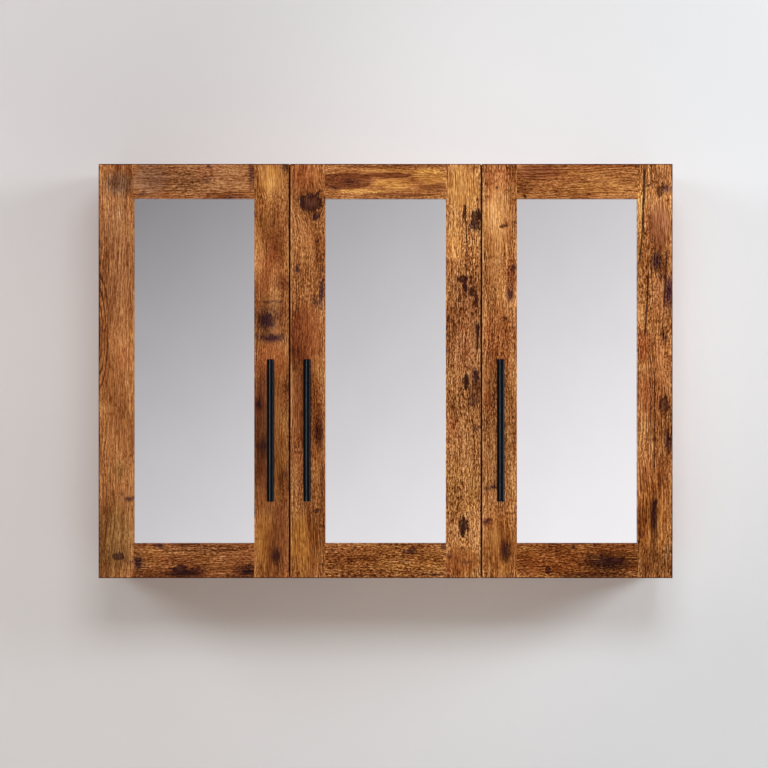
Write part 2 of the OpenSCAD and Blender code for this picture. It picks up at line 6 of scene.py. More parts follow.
import bpy
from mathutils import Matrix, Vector


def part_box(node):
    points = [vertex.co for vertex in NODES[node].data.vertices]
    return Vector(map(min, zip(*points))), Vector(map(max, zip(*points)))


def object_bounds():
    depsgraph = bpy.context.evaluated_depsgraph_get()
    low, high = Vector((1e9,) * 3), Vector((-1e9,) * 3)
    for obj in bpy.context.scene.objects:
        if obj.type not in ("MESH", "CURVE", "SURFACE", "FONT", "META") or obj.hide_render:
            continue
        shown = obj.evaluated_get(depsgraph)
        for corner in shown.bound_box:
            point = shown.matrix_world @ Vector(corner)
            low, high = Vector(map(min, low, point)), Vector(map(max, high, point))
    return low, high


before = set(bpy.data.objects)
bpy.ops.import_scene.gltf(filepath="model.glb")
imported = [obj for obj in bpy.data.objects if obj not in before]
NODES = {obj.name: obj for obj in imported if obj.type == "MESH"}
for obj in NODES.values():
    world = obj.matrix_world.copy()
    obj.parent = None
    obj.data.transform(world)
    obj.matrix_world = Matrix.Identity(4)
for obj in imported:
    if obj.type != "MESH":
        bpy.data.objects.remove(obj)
cad_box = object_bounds()

MM = 0.001
DOORS = ("left_door", "middle_door", "right_door")


def srgb(r, g, b):
    """Linear colour of an 8-bit display colour."""
    def channel(value):
        v = value / 255
        return v / 12.92 if v <= 0.04045 else ((v + 0.055) / 1.055) ** 2.4
    return (channel(r), channel(g), channel(b), 1.0)


class Nodes:
    """A node tree, built with short calls. A value is an output of a node or a plain number."""

    def __init__(self, tree):
        self.tree = tree

    def add(self, kind, **settings):
        node = self.tree.nodes.new(kind)
        for key, value in settings.items():
            setattr(node, key, value)
        return node

    def feed(self, socket, value):
        """Links an output to a socket, or sets a plain value on it."""
        if isinstance(value, bpy.types.NodeSocket):
            self.tree.links.new(value, socket)
        else:
            socket.default_value = value

    def feed_all(self, node, values):
        """Feeds the first inputs of a node."""
        for socket, value in zip(node.inputs, values):
            self.feed(socket, value)

    def math(self, operation, *values):
        node = self.add("ShaderNodeMath", operation=operation)
        self.feed_all(node, values)
        return node.outputs[0]

    def vector(self, operation, *values):
        node = self.add("ShaderNodeVectorMath", operation=operation)
        self.feed_all(node, values)
        is_number = operation in ("LENGTH", "DOT_PRODUCT")
        return node.outputs["Value" if is_number else "Vector"]

    def noise(self, place, detail=3.0, roughness=0.5, distortion=0.0):
        node = self.add("ShaderNodeTexNoise")
        self.feed(node.inputs["Vector"], place)
        node.inputs["Scale"].default_value = 1.0
        node.inputs["Detail"].default_value = detail
        node.inputs["Roughness"].default_value = roughness
        node.inputs["Distortion"].default_value = distortion
        return node.outputs["Fac"]

    def span(self, value, low, high, to_low=0.0, to_high=1.0):
        """value carried smoothly from low..high to to_low..to_high."""
        node = self.add("ShaderNodeMapRange", interpolation_type="SMOOTHSTEP")
        self.feed_all(node, (value, low, high, to_low, to_high))
        return node.outputs["Result"]

    def centred(self, value, gain):
        """A noise brought round zero and scaled."""
        return self.math("MULTIPLY_ADD", value, gain, -0.5 * gain)

    def strongest(self, values):
        """The largest of some values."""
        result = values[0]
        for value in values[1:]:
            result = self.math("MAXIMUM", result, value)
        return result

    def ramp(self, value, stops):
        node = self.add("ShaderNodeValToRGB")
        elements = node.color_ramp.elements
        while len(elements) < len(stops):
            elements.new(0.5)
        for element, (place, colour) in zip(elements, stops):
            element.position = place
            element.color = colour
        self.feed(node.inputs["Fac"], value)
        return node.outputs["Color"]

    def mix(self, factor, first, second, blend="MIX"):
        node = self.add("ShaderNodeMix", data_type="RGBA", blend_type=blend)
        self.feed(node.inputs["Factor"], factor)
        self.feed(node.inputs["A"], first)
        self.feed(node.inputs["B"], second)
        return node.outputs["Result"]

    def split(self, vector):
        node = self.add("ShaderNodeSeparateXYZ")
        self.feed_all(node, (vector,))
        return node.outputs

    def join(self, x, y, z):
        node = self.add("ShaderNodeCombineXYZ")
        self.feed_all(node, (x, y, z))
        return node.outputs[0]

    def stretch(self, parts, scales, shift):
        """A place of three parts, each scaled, and the last one shifted by shift as well."""
        along, across, depth = parts
        return self.join(self.math("MULTIPLY", along, scales[0]),
                         self.math("MULTIPLY", across, scales[1]),
                         self.math("MULTIPLY_ADD", depth, scales[2], shift))


class Shader(Nodes):
    """A new material and its node tree."""

    def __init__(self, name):
        self.material = bpy.data.materials.new(name)
        self.material.use_nodes = True
        super().__init__(self.material.node_tree)
        self.surface = self.tree.nodes["Principled BSDF"]

    def place(self):
        """The point on the object at rest, in millimetres."""
        coordinates = self.add("ShaderNodeTexCoord")
        return self.vector("MULTIPLY", coordinates.outputs["Object"], (1000.0, 1000.0, 1000.0))

    def bump(self, height, depth_mm, strength):
        node = self.add("ShaderNodeBump")
        node.inputs["Strength"].default_value = strength
        node.inputs["Distance"].default_value = depth_mm * MM
        self.feed(node.inputs["Height"], height)
        self.feed(self.surface.inputs["Normal"], node.outputs["Normal"])

    def set(self, **values):
        """Feeds the surface's sockets, named with _ for a space."""
        for key, value in values.items():
            self.feed(self.surface.inputs[key.replace("_", " ")], value)


# Tones of the wood, from the darkest marks to the palest streaks
# The black below colours knots and cracks, and is also the colour of the painted shade at the door
# gaps and on the case's front edges
KNOT_AND_SHADE_BLACK = srgb(38, 8, 6)
KNOT_CORE = srgb(88, 46, 34)
GRAIN_TONES = [(0.0, srgb(66, 27, 6)), (0.26, srgb(115, 59, 21)), (0.48, srgb(152, 93, 48)),
               (0.70, srgb(186, 124, 70)), (1.0, srgb(226, 168, 110))]

# What the coloured places of the boards are multiplied by
TINTS = {
    "pale": (1.35, 1.35, 1.35, 1.0),
    "gold": (1.30, 1.46, 1.15, 1.0),
    "red": (0.86, 0.62, 0.56, 1.0),
    "umber": (0.42, 0.28, 0.26, 1.0),
    "dark": (0.40, 0.34, 0.32, 1.0),
    "violet": (0.42, 0.30, 0.66, 1.0),
    "dull": (0.78, 0.98, 1.60, 1.0),
    "olive": (0.60, 0.72, 0.60, 1.0),
    "smudge": (0.16, 0.12, 0.42, 1.0),
    "rust": (0.62, 0.50, 0.60, 1.0),
    "amber": (0.85, 0.80, 0.55, 1.0),
}

# Parts of a point along the grain, across it and in depth, by the axis of the grain. Two
# letters name the axis across as well
GRAIN_AXES = {
    "x": lambda x, y, z: (x, z, y),
    "z": lambda x, y, z: (z, x, y),
    "xy": lambda x, y, z: (x, y, z),
    "zy": lambda x, y, z: (z, y, x),
}

# Noises of the grain: cycles per millimetre along it, across it and in depth, then detail,
# roughness and a shift that keeps them apart
GRAIN_NOISES = {
    "fine": (0.014, 0.55, 0.2, 2.0, 0.6, 0.0),
    "hair": (0.08, 0.62, 0.3, 1.0, 0.5, 17.0),
    "band": (0.005, 0.07, 0.06, 3.0, 0.55, 11.0),
    "patch": (0.010, 0.026, 0.02, 1.5, 0.45, 23.0),
    "pore": (0.10, 0.50, 0.3, 1.0, 0.5, 31.0),
    "grains": (0.20, 0.56, 0.3, 2.0, 0.7, 47.0),
    "hue": (0.012, 0.035, 0.02, 1.5, 0.5, 71.0),
    "worn": (0.014, 0.034, 0.03, 3.0, 0.5, 59.0),
}
SEED_STEP = 37.0
WANDER_SCALES = (0.006, 0.014, 0.01)
WANDER_MM = 24.0
FRAY_SCALES = (0.06, 0.14, 0.0)
FRAY_SHIFT = 5.0

# How much each pattern moves the tone, which goes from 0, dark, to 1, pale
FINE_GAIN = 1.3
GRAINS_GAIN = 2.6
BAND_GAIN = 0.35
PATCH_GAIN = 1.2
RING_GAIN = -0.2
PORE_GAIN = -0.12
SPECKLE_GAIN = -0.45
PALE_GRAIN_GAIN = 0.3
NET_GAIN = -0.6
# The last two paint light into the door edges: a painted highlight and painted shade
PAINTED_HIGHLIGHT_GAIN = 0.3
PAINTED_SHADE_EDGE_GAIN = -0.45

# Spans: where a pattern starts and ends, and what it goes from and to if not from 0 to 1
WORN_SPAN = (0.46, 0.62)
SPECKLE_SPAN = (0.56, 0.66)
PALE_GRAIN_SPAN = (0.32, 0.44, 1.0, 0.0)
PORE_SPAN = (0.62, 0.74)
RED_SPAN = (0.48, 0.68)
GOLD_SPAN = (0.32, 0.50)
WOOD_ROUGHNESS = (0.0, 1.0, 0.62, 0.46)

MIDDLE_TONE = 0.5
# Gold is weaker than red by this
GOLD_SHARE = 0.4

# Relief of the wood: how high its parts stand or lie, in shares of the bump's depth
FINE_HEIGHT = 0.8
PORE_DEPTH = 0.5
PIT_DEPTH = 0.5
WOOD_RELIEF_MM = 0.35
WOOD_RELIEF_STRENGTH = 0.5

# Growth rings and the net of fine cracks
RINGS_PER_MM = 0.28
RING_WANDER = 9.0
RING_SHARPNESS = 3.0
NET_SCALES = (0.10, 0.36, 0.1)
NET_FRAY = (1.5, 2.0)
NET_LINE = (0.04, 0.20, 1.0, 0.0)
NET_GAPS = (0.38, 0.52)
NET_LEAST = 0.1
ARC_WANDER_MM = 16.0
ARC_LINE = (0.2, 0.9)
ARC_FADE = 0.7

# Marks: from this strength on they are knots, which bend the grain, and below it soft smudges.
# Their spans are in shares of a mark's size
KNOT_STRENGTH = 0.8
KNOT_PUSH = (0.6, 2.4, 0.35, 0.0)
KNOT_RIM = (0.8, 1.15)
KNOT_CORE_RIM = (0.0, 0.7, 1.0, 0.0)
KNOT_GRAIN = (0.30, 0.62, 1.0, 0.9)
SMUDGE_RIM = (0.2, 1.45)
SMUDGE_GAIN = 1.3
MARK_FRAY = (0.6, 1.8)
ROUGH_RIM = (0.5, 1.2)
CALM_RIM = (0.7, 1.25)
CRACK_RIM = (0.4, 1.6)
CRACK_END_MM = 6
CRACK_FRAY_MM = 5.0
CRACK_TONE = 0.9
CRACK_DEPTH = 2.0

# Edges of the doors and of the case, in millimetres. Light and shade are painted along them: a
# painted highlight on the left edges of the middle and right doors, painted shade along the
# doors' outer edges and ends, and black painted shade at the gaps and on the case's front edges
OUTER_SIDE_MM = 430.0
PAINTED_HIGHLIGHT_EDGE = (1.2, 2.4, 1.0, 0.0)
PAINTED_SHADE_EDGE = (0.8, 2.0, 1.0, 0.0)
PAINTED_GAP_SHADE = (0.4, 0.9, 0.85, 0.0)
CASE_FRONT_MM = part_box("divider_panel")[0].y / MM
# Painted shade: the case boards' front edges are painted nearly black in this band, as shade seen
# through the door gaps
CASE_PAINTED_SHADE_MM = 0.3
CASE_PAINTED_SHADE_TONE = 0.85


def around(s, spot_place, mark):
    """How far a point lies from a mark's middle, as a share of its size, and the way there."""
    x, z, half_x, half_z = mark[:4]
    away = s.vector("SUBTRACT", spot_place, (x, z, 0.0))
    return s.vector("LENGTH", s.vector("MULTIPLY", away, (1 / half_x, 1 / half_z, 0.0))), away


def zone_mask(s, spot_place, zone, low, high):
    """strength inside an ellipse, falling to 0 between low and high times its size."""
    return s.span(around(s, spot_place, zone)[0], low, high, zone[4], 0.0)


def crack_mask(s, along, across, crack):
    """1 along a thin line that follows the grain from one point to another."""
    (a0, c0), (a1, c1), half_width = crack
    low, high = min(a0, a1), max(a0, a1)
    slope = (c1 - c0) / (a1 - a0)
    line = s.math("MULTIPLY_ADD", along, slope, c0 - a0 * slope)
    off = s.math("ABSOLUTE", s.math("SUBTRACT", across, line))
    thin = s.span(off, half_width * CRACK_RIM[0], half_width * CRACK_RIM[1], 1.0, 0.0)
    begin = s.span(along, low - CRACK_END_MM, low + CRACK_END_MM)
    end = s.span(along, high - CRACK_END_MM, high + CRACK_END_MM, 1.0, 0.0)
    return s.math("MULTIPLY", thin, s.math("MULTIPLY", begin, end))


def growth_rings(s, bent, patch):
    """Thin lines along the grain at a slowly changing step."""
    phase = s.math("MULTIPLY_ADD", patch, RING_WANDER, s.math("MULTIPLY", bent, RINGS_PER_MM))
    wave = s.math("SINE", s.math("MULTIPLY", phase, 2 * math.pi))
    return s.math("POWER", s.math("MULTIPLY_ADD", wave, 0.5, 0.5), RING_SHARPNESS)


def growth_arcs(s, x, z, wander, arcs):
    """Nested growth lines round one point, which fade at their reach."""
    middle_x, middle_z, ratio, reach, step, strength = arcs
    wavy = s.join(s.math("ADD", x, s.centred(wander, ARC_WANDER_MM)), z, 0.0)
    away = s.vector("SUBTRACT", wavy, (middle_x, middle_z, 0.0))
    far = s.vector("LENGTH", s.vector("MULTIPLY", away, (1.0, 1 / ratio, 0.0)))
    wave = s.math("SINE", s.math("MULTIPLY", far, 2 * math.pi / step))
    return s.math("MULTIPLY", s.span(wave, *ARC_LINE),
                  s.span(far, reach * ARC_FADE, reach, strength, 0.0))


def crack_net(s, parts, shift, noises, worn):
    """A net of fine cracks, long along the grain and strong where the wood is worn."""
    net = s.add("ShaderNodeTexVoronoi", feature="DISTANCE_TO_EDGE")
    net.inputs["Scale"].default_value = 1.0
    fray = s.join(s.centred(noises.grains, NET_FRAY[0]), s.centred(noises.hair, NET_FRAY[1]), 0.0)
    s.feed(net.inputs["Vector"], s.vector("ADD", s.stretch(parts, NET_SCALES, shift), fray))
    line = s.math("MULTIPLY", s.span(net.outputs["Distance"], *NET_LINE),
                  s.span(noises.pore, *NET_GAPS))
    return s.math("MULTIPLY", line, s.math("MULTIPLY_ADD", worn, 1.0 - NET_LEAST, NET_LEAST))


def door_edges(s, x, z, door):
    """Masks of painted light on a door: a painted highlight along its left edge, painted shade
    along its outer edges and ends, and black painted shade at its rims by the gaps.
    """
    low_x, high_x, low_z, high_z = door
    from_left = s.math("SUBTRACT", x, low_x)
    side_gap = s.math("MINIMUM", from_left, s.math("SUBTRACT", high_x, x))
    end_gap = s.math("MINIMUM", s.math("SUBTRACT", z, low_z), s.math("SUBTRACT", high_z, z))
    outer = s.math("GREATER_THAN", s.math("ABSOLUTE", x), OUTER_SIDE_MM)
    inner = s.math("SUBTRACT", 1.0, outer)
    # pale is a painted highlight, dark is painted shade, and the last mask is black painted shade
    # at the gaps
    pale = s.math("MULTIPLY", inner, s.span(from_left, *PAINTED_HIGHLIGHT_EDGE))
    dark = s.math("MAXIMUM", s.span(end_gap, *PAINTED_SHADE_EDGE),
                  s.math("MULTIPLY", s.span(side_gap, *PAINTED_SHADE_EDGE), outer))
    return pale, dark, s.math("MULTIPLY", inner, s.span(side_gap, *PAINTED_GAP_SHADE))


def wood(name, axes, seed, tone, streak, grit, crackle, speckle, blotch, rings, gloss, hues=0.45,
         core=0.5, edge=(0.5, 1.3), fray_mm=(12.0, 16.0), marks=(), tints=(), rough=(), calm=(),
         cracks=(), arcs=None, door=None, front=None):
    """Rustic wood, whose grain lies as GRAIN_AXES says.

    The looks are tone, added to the level, and shares of the patterns: streak of the fine
    lines, grit of the grains, crackle of the crack net, speckle of dark and pale grains,
    blotch of the large patches, rings, hues of red and gold, and core of brown in a knot.

    marks, tints, rough and calm are ellipses (x, z, half x, half z, strength) in millimetres
    in the front plane: dark spots, coloured, worn and smooth places. A tint's name comes last.
    Tints fade between the two shares of their size in edge, and fray_mm is how far the rims of
    all ellipses stray in x and z. cracks are lines ((along, across), (along, across), half
    width). arcs are growth lines (x, z, length to width, reach, step, strength) round one
    point. door is the outline (x low, x high, z low, z high) along whose edges light and shade
    are painted: a painted highlight at the left edge, painted shade along the outer edges and
    ends, and black painted shade at the gaps. Ahead of front (y) the wood is painted nearly
    black, as painted shade on the case's front edges."""
    s = Shader(name)
    x, y, z = s.split(s.place())
    along, across, depth = GRAIN_AXES[axes](x, y, z)
    shift = seed * SEED_STEP

    # A slow wander of the grain, and small noise that frays the rims of marks
    wander = s.noise(s.stretch((along, across, depth), WANDER_SCALES, shift), detail=2.0)
    fray = s.noise(s.stretch((along, across, depth), FRAY_SCALES, shift + FRAY_SHIFT),
                   detail=4.0, roughness=0.7)
    spot_place = s.join(s.math("ADD", x, s.centred(fray, fray_mm[0])),
                        s.math("ADD", z, s.centred(fray, fray_mm[1])), 0.0)

    # The grain lines part round each knot
    bent = s.math("ADD", across, s.centred(wander, WANDER_MM))
    distances = []
    for mark in marks:
        far, away = around(s, spot_place, mark)
        distances.append((far, mark[4]))
        if mark[4] >= KNOT_STRENGTH:
            side = s.split(away)[1 if axes == "x" else 0]
            bent = s.math("SUBTRACT", bent, s.math("MULTIPLY", s.span(far, *KNOT_PUSH), side))
    parts = (along, bent, depth)
    noises = SimpleNamespace(**{
        key: s.noise(s.stretch(parts, scales, shift + offset), detail, roughness)
        for key, (*scales, detail, roughness, offset) in GRAIN_NOISES.items()})

    # Worn places are speckled and cracked, calm ones smooth
    worn = s.span(noises.worn, *WORN_SPAN)
    if rough:
        worn = s.strongest([worn] + [zone_mask(s, spot_place, zone, *ROUGH_RIM)
                                     for zone in rough])
    coarse = s.centred(noises.grains, GRAINS_GAIN * grit)
    if calm:
        smooth = s.strongest([zone_mask(s, spot_place, zone, *CALM_RIM) for zone in calm])
        uneven = s.math("SUBTRACT", 1.0, smooth)
        coarse = s.math("MULTIPLY", coarse, uneven)
        worn = s.math("MULTIPLY", worn, uneven)

    ring_line = growth_rings(s, bent, noises.patch)
    net_line = crack_net(s, parts, shift, noises, worn)
    speckled = s.math("MULTIPLY", worn, s.span(noises.grains, *SPECKLE_SPAN))
    pale_grains = s.math("MULTIPLY", worn, s.span(noises.grains, *PALE_GRAIN_SPAN))
    dark_pores = s.span(noises.pore, *PORE_SPAN)
    level = s.math("ADD", s.centred(noises.fine, FINE_GAIN * streak), MIDDLE_TONE + tone)
    for part in (s.centred(noises.hair, streak), coarse,
                 s.centred(noises.band, BAND_GAIN), s.centred(noises.patch, PATCH_GAIN * blotch),
                 s.math("MULTIPLY", ring_line, RING_GAIN * rings),
                 s.math("MULTIPLY", dark_pores, PORE_GAIN),
                 s.math("MULTIPLY", speckled, SPECKLE_GAIN * speckle),
                 s.math("MULTIPLY", pale_grains, PALE_GRAIN_GAIN * speckle),
                 s.math("MULTIPLY", net_line, NET_GAIN * crackle)):
        level = s.math("ADD", level, part)
    if arcs:
        level = s.math("SUBTRACT", level, growth_arcs(s, x, z, wander, arcs))
    if door:
        # Painted highlight on the door's left edge, painted shade along its outer edges and ends
        painted_highlight_mask, painted_edge_shade_mask, painted_gap_shade_mask = door_edges(s, x, z, door)
        level = s.math("ADD", level, s.math("MULTIPLY", painted_highlight_mask, PAINTED_HIGHLIGHT_GAIN))
        level = s.math("ADD", level, s.math("MULTIPLY", painted_edge_shade_mask, PAINTED_SHADE_EDGE_GAIN))

    colour = s.ramp(level, GRAIN_TONES)
    colour = s.mix(s.span(noises.hue, *RED_SPAN, 0.0, hues), colour, TINTS["red"], "MULTIPLY")
    golden = s.span(noises.hue, *GOLD_SPAN, GOLD_SHARE * hues, 0.0)
    colour = s.mix(golden, colour, TINTS["gold"], "MULTIPLY")
    for zone in tints:
        mask = zone_mask(s, spot_place, zone, *edge)
        colour = s.mix(mask, colour, TINTS[zone[5]], "MULTIPLY")

    # Knots are black with a ragged rim and a brown middle, smudges let the grain show
    rag = s.math("ADD", s.centred(noises.grains, MARK_FRAY[0]), s.centred(fray, MARK_FRAY[1]))
    smudges, knots, cores, grooves = [], [], [], []
    for far, strength in distances:
        ragged = s.math("ADD", far, rag)
        if strength >= KNOT_STRENGTH:
            knots.append(s.span(ragged, *KNOT_RIM, strength, 0.0))
            cores.append(s.span(ragged, *KNOT_CORE_RIM))
        else:
            smudges.append(s.span(ragged, *SMUDGE_RIM, strength, 0.0))
    if smudges:
        soft = s.math("MINIMUM", s.math("MULTIPLY", s.strongest(smudges), SMUDGE_GAIN), 1.0)
        colour = s.mix(soft, colour, TINTS["smudge"], "MULTIPLY")
    if knots:
        dark = s.math("MULTIPLY", s.strongest(knots), s.span(noises.fine, *KNOT_GRAIN))
        brown = s.math("MULTIPLY", s.strongest(cores), core)
        colour = s.mix(dark, colour, s.mix(brown, KNOT_AND_SHADE_BLACK, KNOT_CORE))
        grooves.append(dark)
    if cracks:
        wavy = s.math("ADD", across, s.centred(fray, CRACK_FRAY_MM))
        lines = s.strongest([crack_mask(s, along, wavy, crack) for crack in cracks])
        colour = s.mix(s.math("MULTIPLY", lines, CRACK_TONE), colour, KNOT_AND_SHADE_BLACK)
        grooves.append(s.math("MULTIPLY", lines, CRACK_DEPTH))
    if door:
        # Black painted shade at the door's rims by the gaps
        colour = s.mix(painted_gap_shade_mask, colour, KNOT_AND_SHADE_BLACK)
    if front:
        # Painted shade: the front edges of the case boards are painted nearly black
        rim = s.span(y, front - CASE_PAINTED_SHADE_MM, front + CASE_PAINTED_SHADE_MM, CASE_PAINTED_SHADE_TONE, 0.0)
        colour = s.mix(rim, colour, KNOT_AND_SHADE_BLACK)

    height = s.math("SUBTRACT", s.math("MULTIPLY", noises.fine, FINE_HEIGHT),
                    s.math("MULTIPLY", dark_pores, PORE_DEPTH))
    pits = s.math("MULTIPLY", s.math("ADD", speckled, net_line), PIT_DEPTH)
    height = s.math("SUBTRACT", height, pits)
    if grooves:
        height = s.math("SUBTRACT", height, s.strongest(grooves))
    s.bump(height, WOOD_RELIEF_MM, WOOD_RELIEF_STRENGTH)
    s.set(Base_Color=colour, Roughness=s.span(level, *WOOD_ROUGHNESS), Specular_IOR_Level=gloss)
    return s.material


def beech(name):
    """Even wood of the dowels, with its grain along x."""
    s = Shader(name)
    x, y, z = s.split(s.place())
    lines = s.noise(s.stretch((x, z, y), (0.02, 0.5, 0.5), 39.0), detail=4.0)
    clouds = s.noise(s.stretch((x, z, y), (0.01, 0.02, 0.0), 21.0), detail=2.0)
    level = s.math("MULTIPLY_ADD", clouds, 0.4, s.math("MULTIPLY", lines, 0.6))
    s.set(Base_Color=s.ramp(level, [(0.3, srgb(178, 136, 92)), (0.7, srgb(212, 174, 126))]),
          Roughness=s.span(lines, 0.3, 0.7, 0.54, 0.68))
    s.bump(lines, 0.1, 0.5)
    return s.material


def hardboard(name):
    """Pressed brown fibre board."""
    s = Shader(name)
    place = s.place()
    fibres = s.noise(s.vector("MULTIPLY", place, (0.8, 0.8, 0.5)), detail=6.0, roughness=0.7,
                     distortion=1.5)
    clouds = s.noise(s.vector("MULTIPLY", place, (0.02, 0.02, 0.02)))
    level = s.math("MULTIPLY_ADD", clouds, 0.5, s.math("MULTIPLY", fibres, 0.5))
    s.set(Base_Color=s.ramp(level, [(0.3, srgb(104, 72, 45)), (0.7, srgb(150, 112, 74))]),
          Roughness=s.span(fibres, 0.3, 0.7, 0.68, 0.82))
    s.bump(fibres, 0.08, 0.6)
    return s.material


def mirror_glass(name):
    """Silvered glass, with the faintest haze."""
    s = Shader(name)
    haze = s.noise(s.vector("MULTIPLY", s.place(), (0.012, 0.012, 0.009)))
    s.set(Base_Color=s.ramp(haze, [(0.3, srgb(243, 243, 243)), (0.7, srgb(246, 246, 246))]),
          Roughness=s.span(haze, 0.3, 0.7, 0.012, 0.03), Metallic=1.0)
    return s.material


def metal(name, dark, light, roughness):
    """Plated steel with a finish drawn upright."""
    s = Shader(name)
    place = s.place()
    brush = s.noise(s.vector("MULTIPLY", place, (0.9, 0.9, 0.05)), detail=4.0, roughness=0.6)
    stain = s.noise(s.vector("MULTIPLY", place, (0.08, 0.08, 0.08)))
    level = s.math("MULTIPLY_ADD", brush, 0.5, s.math("MULTIPLY", stain, 0.5))
    s.set(Base_Color=s.ramp(level, [(0.35, dark), (0.65, light)]),
          Roughness=s.span(level, 0.3, 0.7, roughness - 0.05, roughness + 0.08), Metallic=1.0)
    s.bump(brush, 0.03, 0.5)
    return s.material


def black_coat(name):
    """Satin black coat: a fine skin with a low sheen."""
    s = Shader(name)
    place = s.place()
    skin = s.noise(s.vector("MULTIPLY", place, (2.2, 2.2, 2.2)), roughness=0.6)
    wear = s.noise(s.vector("MULTIPLY", place, (0.05, 0.05, 0.02)))
    s.set(Base_Color=s.ramp(wear, [(0.3, srgb(5, 5, 7)), (0.7, srgb(9, 9, 12))]),
          Roughness=s.span(wear, 0.3, 0.7, 0.15, 0.22), Specular_IOR_Level=0.07)
    s.bump(skin, 0.01, 0.2)
    return s.material


def soft_plastic(name):
    """Milky plastic of the soft dots."""
    s = Shader(name)
    cloud = s.noise(s.vector("MULTIPLY", s.place(), (0.3, 0.3, 0.3)), detail=2.0)
    s.set(Base_Color=s.ramp(cloud, [(0.3, srgb(216, 214, 208)), (0.7, srgb(232, 230, 225))]),
          Roughness=s.span(cloud, 0.3, 0.7, 0.4, 0.55), Subsurface_Weight=0.2)
    s.bump(cloud, 0.1, 0.3)
    return s.material
